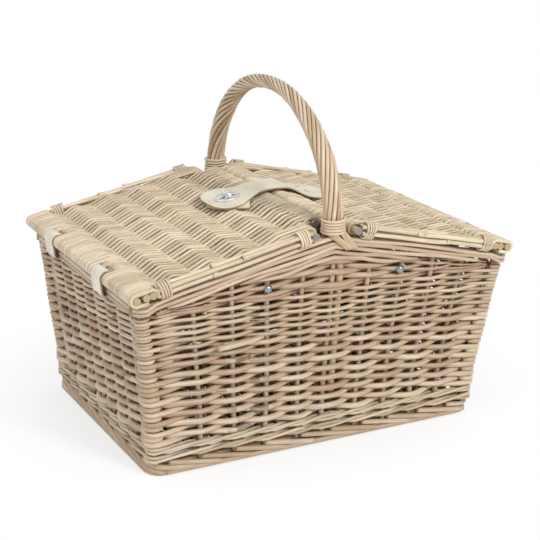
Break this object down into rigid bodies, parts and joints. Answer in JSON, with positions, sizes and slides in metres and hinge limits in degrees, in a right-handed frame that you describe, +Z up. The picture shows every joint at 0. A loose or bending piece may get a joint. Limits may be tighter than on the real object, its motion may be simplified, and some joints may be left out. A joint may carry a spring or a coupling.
{
  "type": "picnic hamper",
  "caption": "Woven willow picnic hamper with a pitched pair of hinged lids, a fixed bow handle and a leather strap that a turn button holds shut.",
  "frame": {"origin": "on the ground under the middle of the basket", "axes": "+X along the hamper towards the lid that carries the strap's rivets, +Y from the front wall with the studs towards the back, +Z up"},
  "size_m": [0.473, 0.3204, 0.3919],
  "materials": {
    "basket_willow": "buff willow rods, peeled and satin, woven round stakes",
    "handle_willow": "buff willow strands twisted round a core, satin",
    "lid_willow": "white willow rods, peeled and satin, woven over sticks",
    "lid_sticks": "peeled willow sticks with sawn ends",
    "hinge_leather": "cream leather, matt",
    "strap_leather": "cream leather, matt with a darker cut edge",
    "nickel": "bright nickel plate"
  },
  "bodies": {
    "basket": {"foot_border": "basket_willow", "floor_panel": "basket_willow", "front_wall": "basket_willow", "back_wall": "basket_willow", "left_wall": "basket_willow", "right_wall": "basket_willow", "front_left_post": "basket_willow", "front_right_post": "basket_willow", "back_left_post": "basket_willow", "back_right_post": "basket_willow", "front_border": "basket_willow", "back_border": "basket_willow", "left_border": "basket_willow", "right_border": "basket_willow", "front_left_stud": "nickel", "front_right_stud": "nickel", "handle_bow": "handle_willow", "front_whipping": "handle_willow", "back_whipping": "handle_willow", "left_front_hinge_loop": "hinge_leather", "left_back_hinge_loop": "hinge_leather", "right_front_hinge_loop": "hinge_leather", "right_back_hinge_loop": "hinge_leather"},
    "left_lid": {"left_lid_weave": "lid_willow", "left_lid_hinge_stick": "lid_sticks", "left_lid_end_sticks": "lid_sticks", "left_lid_rib_1": "lid_sticks", "left_lid_rib_2": "lid_sticks", "left_lid_rib_3": "lid_sticks", "left_lid_rib_4": "lid_sticks", "left_lid_rail_stick": "lid_sticks", "left_lid_ridge_sticks": "lid_sticks", "left_lid_front_rail": "lid_willow", "left_lid_back_rail": "lid_willow", "left_lid_front_outer_binding": "lid_willow", "left_lid_front_inner_binding": "lid_willow", "left_lid_back_outer_binding": "lid_willow", "left_lid_back_inner_binding": "lid_willow", "catch_patch": "strap_leather", "catch_post": "nickel"},
    "right_lid": {"right_lid_weave": "lid_willow", "right_lid_hinge_stick": "lid_sticks", "right_lid_end_sticks": "lid_sticks", "right_lid_rib_1": "lid_sticks", "right_lid_rib_2": "lid_sticks", "right_lid_rib_3": "lid_sticks", "right_lid_rib_4": "lid_sticks", "right_lid_rail_stick": "lid_sticks", "right_lid_ridge_sticks": "lid_sticks", "right_lid_front_rail": "lid_willow", "right_lid_back_rail": "lid_willow", "right_lid_front_outer_binding": "lid_willow", "right_lid_front_inner_binding": "lid_willow", "right_lid_back_outer_binding": "lid_willow", "right_lid_back_inner_binding": "lid_willow", "strap_rivet_1": "nickel", "strap_rivet_2": "nickel"},
    "strap": {"clasp_strap": "strap_leather", "eyelet_plate": "nickel"},
    "button": {"turn_button": "nickel"}
  },
  "joints": [
    {"name": "left_lid_hinge", "type": "hinge", "parent": "basket", "child": "left_lid", "pos_m": [-0.23, 0, 0.2068], "axis": [0, -1, 0], "range_deg": [0, 180]},
    {"name": "right_lid_hinge", "type": "hinge", "parent": "basket", "child": "right_lid", "pos_m": [0.23, 0, 0.2068], "axis": [0, 1, 0], "range_deg": [0, 180]},
    {"name": "strap_lift", "type": "hinge", "parent": "right_lid", "child": "strap", "pos_m": [0.042, 0.01, 0.2531], "axis": [0, 1, 0], "range_deg": [0, 75], "deforming": ["clasp_strap"]},
    {"name": "catch_turn", "type": "hinge", "parent": "left_lid", "child": "button", "pos_m": [-0.051, 0, 0.2509], "axis": [-0.2043, 0, 0.9789], "range_deg": [0, 90]}
  ]
}
